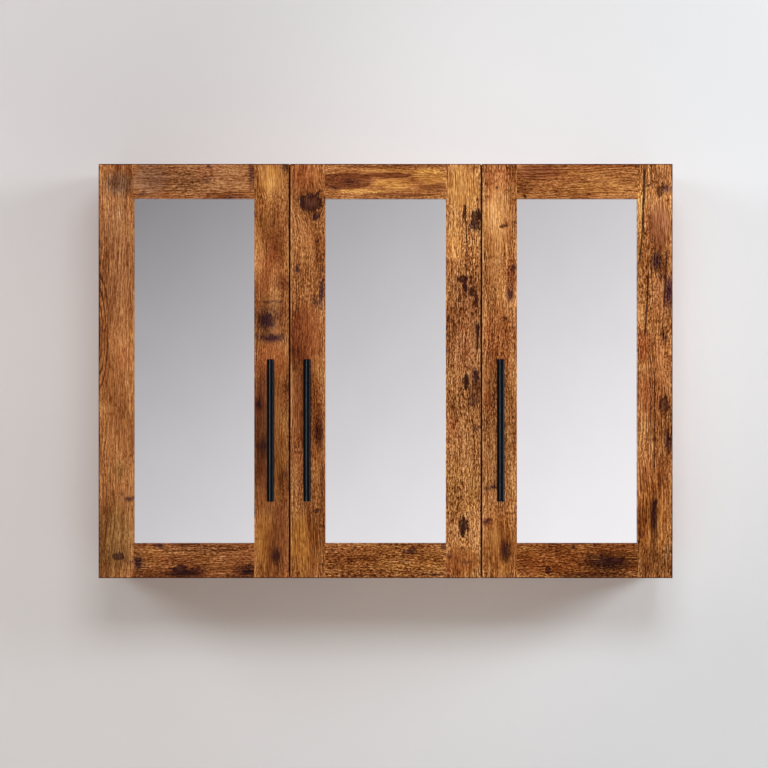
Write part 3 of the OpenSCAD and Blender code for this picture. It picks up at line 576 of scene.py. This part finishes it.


# Looks of the frame members. Their marks are given in millimetres from the cabinet's middle
WOOD_LOOKS = {
    "left_door_hinge_stile": dict(
        seed=1, tone=-0.02, streak=0.9, grit=0.5, crackle=0.1, speckle=0.3, rings=0.2, blotch=0.5,
        hues=0.15, arcs=(-452, 62, 5.0, 24, 4.2, 0.35),
        marks=[(-401, -200, 9, 4.7, 0.7), (-412, -192, 6.3, 3.1, 0.5), (-418, -290, 10, 6.3, 0.85),
               (-400, -299, 7.8, 2.3, 0.5), (-441, 64, 3.1, 3.1, 0.3)],
        tints=[(-417, 294, 25, 20, 0.9, "dull"), (-416, 294, 20, 17, 0.5, "dark"),
               (-422, 189, 28, 110, 0.35, "dull"), (-422, 171, 28, 72, 0.25, "pale"),
               (-409, 22, 14, 22, 0.5, "red"), (-417, -155, 11, 16, 0.5, "olive"),
               (-428, -264, 34, 66, 0.7, "olive"), (-419, -288, 22, 22, 0.3, "dark")],
        rough=[(-428, -210, 22, 22, 0.8)],
        calm=[(-420, 64, 28, 188, 0.4)]),
    "left_door_handle_stile": dict(
        seed=2, tone=-0.03, streak=0.7, grit=0.7, crackle=0.2, speckle=0.7, rings=0.1, blotch=0.8,
        marks=[(-157, 321, 6.3, 11, 0.6), (-178, 108, 22, 1.9, 0.5), (-186, 80, 17, 19, 0.79),
               (-179, 52, 23, 7.8, 0.79), (-200, 55, 4.7, 7.8, 0.6), (-199, -52, 4.7, 9, 0.7),
               (-192, -117, 7.8, 11, 0.6), (-157, -163, 6.3, 7.8, 0.5),
               (-173, -289, 7.8, 14, 0.7)],
        tints=[(-181, 302, 25, 23, 0.5, "gold"), (-192, 260, 19, 41, 0.3, "gold"),
               (-162, 139, 14, 14, 0.8, "umber"), (-178, 158, 28, 34, 0.4, "red"),
               (-179, 77, 28, 38, 0.45, "dark"), (-171, 103, 19, 25, 0.4, "umber"),
               # The dark places along the handle bar, at z -92 with a half height of 94, are
               # partly the wood's own dark tone and partly painted shadow of the bar
               (-181, 17, 31, 31, 0.8, "red"), (-197, -92, 14, 94, 0.9, "dark"),
               (-190, -92, 22, 94, 0.6, "red"), (-170, -92, 25, 94, 0.25, "dark"),
               (-159, -108, 6.3, 47, 0.5, "gold"), (-162, -30, 9, 34, 0.5, "red"),
               (-192, -257, 11, 56, 0.5, "gold"), (-164, -257, 14, 59, 0.6, "rust"),
               (-164, -272, 14, 47, 0.3, "dark"), (-178, -272, 31, 56, 0.7, "amber")],
        rough=[(-181, 205, 31, 63, 0.8)],
        calm=[(-179, 302, 22, 22, 0.8), (-184, -108, 25, 125, 0.6), (-178, -264, 28, 53, 0.6)]),
    "left_door_top_rail": dict(
        seed=3, tone=-0.02, streak=0.8, grit=0.7, crackle=0.2, speckle=0.6, rings=0.2, blotch=0.6,
        hues=0.2,
        marks=[(-209, 311, 6.3, 22, 0.5), (-381, 276, 7.8, 2.3, 0.6), (-276, 321, 6.3, 4.7, 0.5),
               (-279, 300, 11, 7.8, 0.35)],
        tints=[(-372, 299, 31, 28, 0.9, "dull"), (-375, 299, 28, 28, 0.3, "pale"),
               (-290, 302, 94, 31, 0.4, "dull"), (-314, 296, 25, 19, 0.35, "dark"),
               (-281, 311, 16, 14, 0.4, "red"), (-209, 299, 6.3, 25, 0.6, "umber"),
               (-236, 272, 22, 3.9, 0.6, "violet")],
        rough=[(-239, 296, 28, 16, 0.9)],
        calm=[(-369, 296, 34, 28, 0.5)]),
    "left_door_bottom_rail": dict(
        seed=4, tone=-0.17, streak=0.9, grit=0.75, crackle=0.2, speckle=0.5, rings=0.3,
        blotch=0.6, arcs=(-397, -300, 1.2, 46, 6.4, 0.12),
        marks=[(-387, -300, 7.8, 13, 0.79), (-355, -274, 8.6, 4.7, 0.7),
               (-322, -311, 11, 7.8, 0.9), (-309, -316, 28, 5.5, 0.7),
               (-217, -313, 13, 7.8, 0.75)],
        tints=[(-365, -289, 16, 19, 0.4, "gold"), (-314, -314, 34, 9, 0.7, "umber"),
               (-220, -313, 22, 11, 0.7, "umber"), (-283, -278, 63, 7.8, 0.3, "dull")]),
    "middle_door_handle_stile": dict(
        seed=6, tone=-0.04, streak=0.9, grit=0.8, crackle=0.15, speckle=0.3, rings=0.3,
        blotch=0.7, hues=0.3, core=0.9,
        marks=[(-117, 264, 20, 16, 0.95), (-110, 241, 6.3, 6.3, 0.79), (-107, 203, 2.7, 2.7, 0.9),
               (-103, 174, 4.7, 2.3, 0.6), (-138, 159, 5, 6.3, 0.79), (-100, 121, 4.7, 27, 0.79),
               (-109, 108, 6.3, 9, 0.6), (-106, -97, 6.3, 20, 0.6), (-109, -219, 5.5, 3.9, 0.85),
               (-135, -316, 2.3, 1.6, 0.8)],
        tints=[(-126, 305, 31, 23, 0.6, "red"), (-115, 260, 23, 25, 0.35, "dark"),
               (-126, 56, 31, 53, 0.9, "red"), (-126, 56, 31, 56, 0.3, "dark"),
               (-126, -92, 28, 94, 0.5, "red"), (-134, -272, 19, 53, 0.5, "gold"),
               (-128, -272, 31, 56, 0.9, "amber"), (-120, -221, 4.7, 22, 0.6, "red"),
               # The dark place along the handle bar is partly the wood's own dark tone and partly
               # painted shadow of the bar
               (-104, -92, 7.8, 41, 0.7, "umber"), (-125, -61, 13, 94, 0.35, "dark")],
        calm=[(-126, 299, 28, 25, 0.5), (-126, 41, 28, 63, 0.5), (-137, -45, 13, 63, 0.6),
              (-128, -272, 28, 47, 0.7)]),
    "middle_door_hinge_stile": dict(
        seed=5, tone=0.12, streak=1.2, grit=1.25, crackle=0.8, speckle=0.9, rings=0.3, blotch=0.5,
        hues=0.3, core=0.15,
        marks=[(141, 236, 7.8, 19, 0.97), (124, 247, 2.8, 14, 0.9), (134, 227, 4.7, 7.8, 0.7),
               (124, 136, 3.4, 14, 0.95), (120, 144, 9, 6.3, 0.85), (134, 144, 2, 7.8, 0.9),
               (135, 124, 4.1, 9, 0.92), (142, 114, 2.8, 14, 0.9), (143, 67, 2.3, 11, 0.85),
               (116, 113, 2, 6.3, 0.8), (141, 105, 2, 6.3, 0.85), (134, 89, 1.9, 4.7, 0.85),
               (98, 83, 2.2, 4.7, 0.8), (126, -17, 4.7, 14, 0.9), (141, -8, 6.3, 19, 0.7),
               (137, -47, 7.8, 13, 0.5), (143, -89, 6.3, 6.3, 0.6), (122, -244, 7.8, 17, 0.96),
               (99, -289, 6.3, 4.7, 0.5), (126, -299, 7.8, 4.7, 0.5)],
        tints=[(121, 289, 28, 41, 0.4, "gold"), (116, 189, 25, 31, 0.35, "pale"),
               (107, 205, 14, 41, 0.35, "gold"), (126, 133, 20, 17, 0.55, "umber"),
               (135, 111, 14, 25, 0.5, "umber"), (141, 56, 9, 28, 0.5, "umber"),
               (104, -83, 7.8, 13, 0.8, "red"), (140, -33, 9, 34, 0.6, "umber"),
               (120, -186, 28, 44, 0.4, "gold"), (116, -299, 28, 22, 0.8, "red"),
               (120, -299, 28, 22, 0.3, "dark"), (120, 56, 28, 70, 0.4, "rust"),
               (120, -299, 31, 31, 0.7, "amber")],
        rough=[(120, 103, 34, 70, 0.9), (132, -22, 19, 31, 0.9), (120, -124, 31, 110, 0.35)],
        calm=[(120, 289, 28, 38, 0.8), (105, 213, 14, 41, 0.5), (120, -299, 28, 19, 0.5)],
        cracks=[((261, 125), (180, 127.4), 0.9), ((183, 127.4), (139, 126.6), 0.7),
                ((72, 144.6), (30, 143), 1.6), ((-2, 125.8), (-33, 125.8), 1.4)]),
    "middle_door_top_rail": dict(
        seed=7, tone=0.02, streak=0.8, grit=0.8, crackle=0.1, speckle=0.3, rings=0.3, blotch=0.35,
        hues=0.15, edge=(0.9, 1.08), fray_mm=(34, 7),
        marks=[(-56, 296, 13, 6.3, 0.5), (-79, 288, 9, 3.9, 0.6), (-10, 279, 2.3, 2.3, 0.8)],
        tints=[(-65, 297, 47, 13, 0.92, "umber"), (4, 306, 38, 4.1, 0.85, "umber"),
               (13, 293, 31, 8.1, 0.9, "gold"), (69, 305, 30, 12, 0.8, "gold"),
               (79, 286, 28, 5, 0.6, "umber"), (15, 320, 86, 2.2, 0.55, "umber"),
               (23, 313, 70, 2.5, 0.5, "gold"), (-40, 281, 38, 3.8, 0.7, "gold"),
               (23, 276, 63, 2.5, 0.65, "umber"), (38, 282, 25, 1.9, 0.5, "gold")],
        calm=[(15, 296, 94, 22, 0.6)]),
    "middle_door_bottom_rail": dict(
        seed=8, tone=-0.05, streak=1.0, grit=1.25, crackle=0.2, speckle=0.5, rings=0.3,
        blotch=0.5, hues=0.3,
        marks=[(-53, -297, 3.1, 2.3, 0.9), (38, -282, 13, 4.7, 0.65), (76, -318, 23, 2, 0.7),
               (91, -275, 6.3, 6.3, 0.6), (30, -297, 11, 2.3, 0.55), (-49, -278, 4.7, 3.1, 0.5)],
        tints=[(69, -299, 22, 13, 0.3, "gold"), (-56, -289, 41, 19, 0.4, "red"),
               (-1, -316, 94, 6.3, 0.3, "dark"), (-1, -296, 117, 31, 0.7, "amber")],
        rough=[(-9, -289, 63, 22, 0.6)]),
    "right_door_handle_stile": dict(
        seed=10, tone=0.04, streak=1.1, grit=1.1, crackle=0.2, speckle=0.7, rings=0.3, blotch=0.8,
        hues=0.3,
        marks=[(174, 286, 2.8, 1.9, 0.9), (184, 227, 6.3, 2.8, 0.9), (160, 272, 2.3, 2.3, 0.6),
               (195, 121, 6.3, 13, 0.7), (199, 161, 4.7, 9, 0.5), (159, -185, 4.7, 4.7, 0.5),
               (170, -181, 8.6, 3.9, 0.75), (159, -236, 7, 5.5, 0.75), (187, -282, 7.8, 16, 0.7)],
        tints=[(177, 302, 28, 22, 0.5, "red"), (168, 224, 19, 53, 0.2, "gold"),
               (196, 142, 9, 38, 0.9, "red"), (196, 138, 7.8, 31, 0.6, "dark"),
               (176, 56, 25, 56, 0.4, "red"), (159, -44, 7.8, 16, 0.8, "red"),
               (159, -236, 13, 9, 0.8, "red"), (179, -272, 31, 53, 0.35, "red"),
               (179, -272, 31, 59, 0.9, "amber"), (179, -277, 31, 47, 0.3, "dark"),
               # The dark place along the handle bar is partly the wood's own dark tone and partly
               # painted shadow of the bar
               (179, -92, 22, 94, 0.35, "dark"), (187, -282, 11, 22, 0.6, "umber")],
        rough=[(159, -177, 14, 22, 0.9)],
        calm=[(174, 233, 25, 59, 0.65), (173, 158, 13, 31, 0.4), (179, -280, 25, 41, 0.6),
              (159, -14, 9, 38, 0.5)]),
    "right_door_hinge_stile": dict(
        seed=9, tone=0.05, streak=1.25, grit=1.0, crackle=0.4, speckle=0.6, rings=0.5, blotch=0.7,
        hues=0.3, core=0.3,
        marks=[(419, 297, 3.1, 1.9, 0.9), (411, 291, 3.1, 1.9, 0.9), (405, 215, 2.8, 2, 0.9),
               (429, 282, 5.5, 11, 0.85), (440, 285, 7.8, 6.3, 0.7), (424, 172, 8.6, 17, 0.79),
               (423, 171, 5.5, 11, 0.79), (431, 147, 3.1, 4.7, 0.7), (443, 124, 5.5, 22, 0.75),
               (436, 56, 5.5, 11, 0.75), (436, -52, 9, 13, 0.82), (441, -109, 4.7, 20, 0.75),
               (420, -224, 5.9, 31, 0.79), (420, -224, 3.4, 22, 0.79)],
        tints=[(398, 236, 6.3, 78, 0.5, "gold"), (432, 305, 13, 14, 0.4, "dark"),
               (429, 224, 19, 41, 1, "rust"), (425, 171, 14, 23, 0.4, "dark"),
               (432, 111, 14, 47, 0.5, "rust"), (443, 124, 7.8, 34, 0.6, "violet"),
               (403, 41, 9, 31, 0.9, "red"), (426, 80, 6.3, 34, 0.4, "gold"),
               (432, 33, 13, 34, 0.5, "red"), (417, -38, 28, 41, 0.5, "red"),
               (434, -77, 14, 53, 0.35, "dark"), (420, -246, 7.8, 53, 0.85, "dark"),
               (417, -202, 28, 94, 0.4, "red"), (417, -302, 31, 23, 0.6, "dark"),
               (417, -249, 31, 78, 0.8, "amber"), (442, -282, 6.3, 16, 0.6, "dull")],
        rough=[(411, 30, 14, 25, 0.9)],
        calm=[(431, 227, 17, 38, 0.85), (414, -38, 22, 63, 0.4), (414, -202, 25, 78, 0.5)],
        cracks=[((319, 405.4), (214, 401.9), 1.7), ((214, 401.9), (171, 396.9), 1.6),
                ((188, 439.7), (102, 435.6), 1.4), ((156, 411.3), (53, 405.9), 1.3),
                ((6, 413.7), (-131, 414.5), 0.7), ((6, 421.5), (-155, 420.7), 0.7),
                ((-14, 407.4), (-108, 408.2), 0.5)]),
    "right_door_top_rail": dict(
        seed=11, tone=-0.01, streak=1.0, grit=0.65, crackle=0.15, speckle=0.5, rings=0.3,
        blotch=0.6, hues=0.25,
        marks=[(219, 274, 3.9, 3.1, 0.9), (281, 320, 2.3, 1.6, 0.6)],
        tints=[(235, 311, 41, 13, 0.9, "rust"), (335, 286, 53, 11, 0.3, "gold"),
               (218, 288, 16, 9, 0.5, "dark"), (343, 320, 50, 4.7, 0.5, "red"),
               (320, 297, 31, 2.5, 0.6, "umber"), (304, 309, 34, 1.9, 0.5, "gold")],
        rough=[(335, 289, 47, 14, 0.6)],
        calm=[(242, 311, 38, 13, 0.6)]),
    "right_door_bottom_rail": dict(
        seed=12, tone=-0.16, streak=1.0, grit=1.05, crackle=0.2, speckle=0.5, rings=0.3,
        blotch=0.6, hues=0.3,
        marks=[(345, -299, 38, 13, 0.7), (360, -296, 14, 6.3, 0.85), (254, -311, 4.7, 7, 0.9),
               (296, -275, 3.9, 3.1, 0.7)],
        tints=[(335, -319, 70, 6.3, 0.8, "dark"), (221, -286, 17, 11, 0.5, "gold"),
               (257, -299, 63, 22, 0.6, "red"), (345, -299, 44, 16, 0.7, "dark"),
               (345, -278, 47, 6.3, 0.3, "red"), (296, -296, 110, 31, 0.7, "amber")],
        rough=[(221, -289, 17, 9, 0.9)]),
}

DOOR_GLOSS = 0.03

# Looks of the case boards: a name of GRAIN_AXES, seed and tone
CASE_LOOKS = {
    "left_side_panel": ("zy", 21, -0.02),
    "right_side_panel": ("zy", 22, -0.02),
    "divider_panel": ("zy", 23, -0.04),
    "top_panel": ("xy", 24, -0.02),
    "bottom_panel": ("xy", 25, -0.02),
    "wide_shelf_upper": ("xy", 26, -0.02),
    "wide_shelf_lower": ("xy", 27, -0.02),
    "narrow_shelf_upper": ("xy", 28, -0.02),
    "narrow_shelf_lower": ("xy", 29, -0.02),
    "upper_hanging_rail": ("x", 30, -0.04),
    "lower_hanging_rail": ("x", 31, -0.04),
    "back_panel": ("z", 32, 0.0),
}
CASE_STYLE = dict(streak=1.0, grit=0.6, crackle=0.1, speckle=0.3, blotch=0.7, rings=0.3,
                  gloss=0.06, hues=0.2)

# Rounded edges of the wood
DOOR_EDGE_MM = 0.5
CASE_EDGE_MM = 0.4
EDGE_ANGLE = math.radians(50)
WELD_REACH = 0.00001


def dress(node, material):
    """Gives a CAD node one material."""
    mesh = NODES[node].data
    mesh.materials.clear()
    mesh.materials.append(material)


def soften_edges(node, width_mm):
    """Small rounded edges that catch the light."""
    piece = NODES[node]
    weld = piece.modifiers.new("Weld", "WELD")
    weld.merge_threshold = WELD_REACH
    bevel = piece.modifiers.new("Bevel", "BEVEL")
    bevel.width = width_mm * MM
    bevel.segments = 2
    bevel.limit_method = "ANGLE"
    bevel.angle_limit = EDGE_ANGLE
    bevel.harden_normals = True


def dress_wood():
    for node, look in WOOD_LOOKS.items():
        door = node[:node.index("_door") + len("_door")]
        sides = [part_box(f"{door}_{part}_stile") for part in ("hinge", "handle")]
        lows, highs = zip(*sides)
        outline = (min(p.x for p in lows) / MM, max(p.x for p in highs) / MM,
                   min(p.z for p in lows) / MM, max(p.z for p in highs) / MM)
        axis = "x" if node.endswith("rail") else "z"
        dress(node, wood(node + "_wood", axis, gloss=DOOR_GLOSS, door=outline, **look))
        soften_edges(node, DOOR_EDGE_MM)
    for node, (axes, seed, tone) in CASE_LOOKS.items():
        dress(node, wood(node + "_wood", axes, seed, tone, front=CASE_FRONT_MM, **CASE_STYLE))
        soften_edges(node, CASE_EDGE_MM)


def dress_fittings():
    nickel = metal("nickel_plate", srgb(168, 165, 158), srgb(202, 199, 192), 0.30)
    zinc = metal("zinc_plate", srgb(150, 152, 152), srgb(188, 189, 186), 0.36)
    case_materials = {"hinge_arms": nickel, "hinge_plates": nickel, "hinge_plate_screws": zinc,
                      "shelf_pins": zinc, "carcass_fittings": zinc,
                      "door_bumpers": soft_plastic("soft_dots")}
    for node, material in case_materials.items():
        dress(node, material)
    black = black_coat("black_coat")
    door_materials = {"hinge_cups": nickel, "outer_links": nickel, "inner_links": nickel,
                      "screws": zinc, "mirror_clips": zinc, "frame_dowels": beech("beech"),
                      "mirror": mirror_glass("mirror_silver"),
                      "backing_board": hardboard("hardboard"),
                      "handle_bar": black, "handle_posts": black}
    for door in DOORS:
        for part, material in door_materials.items():
            dress(f"{door}_{part}", material)


# Stage: a pale wall behind the cabinet and a pale floor, both seen from their front only. Light
# and shade are painted into the paint: it is brightest round a middle, a painted pool of light,
# with painted shade away from it and a painted shade at the upper left, and it turns from warm
# at the left to cool at the right as a painted tint of the light's colour. Fades are distances
# from the plane's middle, in metres
# Warm at the left and cool at the right: a painted tint of the light's colour
WALL_LEFT = srgb(247, 240, 239)
WALL_RIGHT = srgb(242, 241, 243)
PAINT_SIDES = (-0.7, 0.7)
FLOOR_COLOUR = srgb(238, 236, 234)
# Painted light: the paint is brightest round this middle, with painted shade beyond its reach
PAINTED_LIGHT_MIDDLE = (0.126, -0.02, 0.0)
PAINTED_LIGHT_REACH = 0.76
PAINTED_LIGHT_FALLOFF = (0.72, 0.72, 0.72, 1.0)
# Painted shade at the upper left
PAINTED_CORNER_SHADE_MIDDLE = (-0.50, 0.68, 0.0)
PAINTED_CORNER_SHADE_REACH = (0.15, 0.75)
PAINTED_CORNER_SHADE = (0.84, 0.84, 0.85, 1.0)
WALL_SIZE = 3.2
WALL_GAP = 0.001
WALL_FADE = (1.0, 1.5)
FLOOR_SIZE = 5.0
FLOOR_PLACE = (0.0, -0.6, -1.05)
FLOOR_FADE = (1.4, 2.4)
# The wall is open behind the cabinet, so that light reaches the back
HOLE_MARGIN = 0.001
WALL_HOLE = (cad_box[1][0] - HOLE_MARGIN, cad_box[1][2] - HOLE_MARGIN)


def stage_material(name, left, right, fade, hole=(0.0, 0.0)):
    """Matt paint, with painted light and painted shade in it, that is clear from behind, beyond
    its fade and in a hole in its middle.
    """
    s = Shader(name)
    coordinates = s.add("ShaderNodeTexCoord").outputs["Object"]
    rim = s.span(s.vector("LENGTH", coordinates), *fade)
    behind = s.add("ShaderNodeNewGeometry").outputs["Backfacing"]
    off = s.split(s.vector("ABSOLUTE", coordinates))
    in_hole = s.math("MULTIPLY", s.math("LESS_THAN", off[0], hole[0]),
                     s.math("LESS_THAN", off[1], hole[1]))
    clear = s.strongest([rim, behind, in_hole])
    speck = s.noise(s.vector("MULTIPLY", coordinates, (160.0, 160.0, 160.0)), detail=2.0)
    # Warm at the left, cool at the right: a painted tint of the light's colour
    across = s.span(s.split(coordinates)[0], *PAINT_SIDES)
    # Painted pool of light round the middle, with painted shade away from it
    off_painted_light = s.vector("LENGTH", s.vector("SUBTRACT", coordinates, PAINTED_LIGHT_MIDDLE))
    paint = s.mix(s.span(off_painted_light, 0.0, PAINTED_LIGHT_REACH), s.mix(across, left, right), PAINTED_LIGHT_FALLOFF,
                  "MULTIPLY")
    # Painted shade at the upper left
    off_painted_corner_shade = s.vector("LENGTH", s.vector("SUBTRACT", coordinates, PAINTED_CORNER_SHADE_MIDDLE))
    paint = s.mix(s.span(off_painted_corner_shade, *PAINTED_CORNER_SHADE_REACH, 1.0, 0.0), paint, PAINTED_CORNER_SHADE, "MULTIPLY")
    s.set(Base_Color=paint, Roughness=0.9)
    s.bump(speck, 0.05, 0.2)
    through = s.add("ShaderNodeBsdfTransparent")
    blend = s.add("ShaderNodeMixShader")
    s.feed_all(blend, (clear, s.surface.outputs[0], through.outputs[0]))
    s.feed(s.tree.nodes["Material Output"].inputs["Surface"], blend.outputs[0])
    return s.material


def stage_plane(name, size, place, turn, material):
    bpy.ops.mesh.primitive_plane_add(size=size, location=place, rotation=turn)
    plane = bpy.context.active_object
    plane.name = name
    plane.data.materials.append(material)


def build_stage():
    wall = stage_material("wall_paint", WALL_LEFT, WALL_RIGHT, WALL_FADE, WALL_HOLE)
    floor = stage_material("floor_paint", FLOOR_COLOUR, FLOOR_COLOUR, FLOOR_FADE)
    stage_plane("wall", WALL_SIZE, (0.0, WALL_GAP, 0.0), (math.pi / 2, 0.0, 0.0), wall)
    stage_plane("floor", FLOOR_SIZE, FLOOR_PLACE, (0.0, 0.0, 0.0), floor)


# Reflections: the room before the mirrors, dark at the upper left, bright at the lower right.
# A stop is a place along REFLECTION_WAY and a level there
REFLECTION_STOPS = [(-0.19, 0.27), (-0.05, 0.58), (0.09, 0.86), (0.19, 1.0),
                    (0.36, 0.9), (0.46, 0.3), (0.70, 0.18)]
REFLECTION_SPAN = 0.75
REFLECTION_WAY = (0.72, 0.0, -1.0)
REFLECTION_TINT = (1.0, 0.970, 1.0)
BACKGROUND = srgb(228, 225, 227)
AMBIENT = (0.345, 0.262, 0.17, 1.0)


def build_world():
    """A plain light, a pale background and the room that gloss and the mirrors show."""
    world = bpy.data.worlds.new("studio")
    bpy.context.scene.world = world
    world.use_nodes = True
    s = Nodes(world.node_tree)
    direction = s.add("ShaderNodeTexCoord").outputs["Generated"]
    along = s.vector("DOT_PRODUCT", direction, REFLECTION_WAY)
    spread = s.math("MULTIPLY_ADD", along, 0.5 / REFLECTION_SPAN, 0.5)
    room = s.ramp(spread, [
        (0.5 + 0.5 * place / REFLECTION_SPAN,
         tuple(level * tint for tint in REFLECTION_TINT) + (1.0,))
        for place, level in REFLECTION_STOPS])
    path = s.add("ShaderNodeLightPath").outputs
    glossy = s.math("MAXIMUM", path["Is Glossy Ray"], path["Is Transmission Ray"])
    light = s.mix(glossy, AMBIENT, room)
    background = s.tree.nodes["Background"]
    s.feed(background.inputs["Color"], s.mix(path["Is Camera Ray"], light, BACKGROUND))
    background.inputs["Strength"].default_value = 1.0


SOFT_WHITE = (0.90, 1.0, 1.08)
COOL = (0.72, 0.84, 1.0)
BOX_TARGET = (0.0, -0.1, 0.0)
STRIP_TARGET = (0.0, -0.2, -0.1)

# Lamps: name, place and width by height in metres, and power in watts. The soft boxes stand at
# the right, in front, at the left and behind the cabinet
SOFT_BOXES = (
    ("right_box", (2.46, -1.14, 0.77), (1.3, 0.9), 51.0),
    ("front_box", (0.21, -2.44, 1.44), (1.3, 0.9), 33.0),
    ("left_box", (-2.41, -1.02, 1.05), (0.9, 1.1), 35.0),
    ("rear_box", (-0.8, 2.6, 1.2), (1.5, 1.5), 34.0))
# Narrow strips that only show as highlights, on the handle bars above all
STRIPS = (
    ("left_strip", (-1.12, -2.9, 0.0), (0.30, 2.2), 115.0),
    ("right_strip", (1.9, -0.55, 0.0), (0.24, 1.8), 26.0))


def area_light(name, place, size, power, target, colour):
    """A rectangular lamp, wide by high, that the camera doesn't see."""
    light = bpy.data.lights.new(name, "AREA")
    light.shape = "RECTANGLE"
    light.size, light.size_y = size
    light.energy = power
    light.color = colour
    lamp = bpy.data.objects.new(name, light)
    bpy.context.scene.collection.objects.link(lamp)
    lamp.location = place
    lamp.rotation_euler = (Vector(target) - Vector(place)).to_track_quat("-Z", "Y").to_euler()
    lamp.visible_camera = False
    return lamp


def build_lights():
    for box in SOFT_BOXES:
        area_light(*box, BOX_TARGET, SOFT_WHITE).visible_glossy = False
    for strip in STRIPS:
        area_light(*strip, STRIP_TARGET, COOL).visible_diffuse = False


# Camera: straight on, with the picture's middle a little left of and below the cabinet's.
# Distance from the doors and width of the picture there in metres, sensor in millimetres
CAMERA_DISTANCE = 2.9
PICTURE_WIDTH = 1.2016
PICTURE_MIDDLE = (-0.0025, -0.0203)
SENSOR = 36.0


def build_camera():
    front = min(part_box(f"{door}_hinge_stile")[0].y for door in DOORS)
    data = bpy.data.cameras.new("camera")
    data.sensor_width = SENSOR
    data.lens = SENSOR * CAMERA_DISTANCE / PICTURE_WIDTH
    camera = bpy.data.objects.new("camera", data)
    camera.location = (PICTURE_MIDDLE[0], front - CAMERA_DISTANCE, PICTURE_MIDDLE[1])
    camera.rotation_euler = (math.pi / 2, 0.0, 0.0)
    bpy.context.scene.collection.objects.link(camera)
    bpy.context.scene.camera = camera


dress_wood()
dress_fittings()
build_stage()
build_world()
build_lights()
build_camera()
bpy.context.scene.view_settings.view_transform = "Standard"
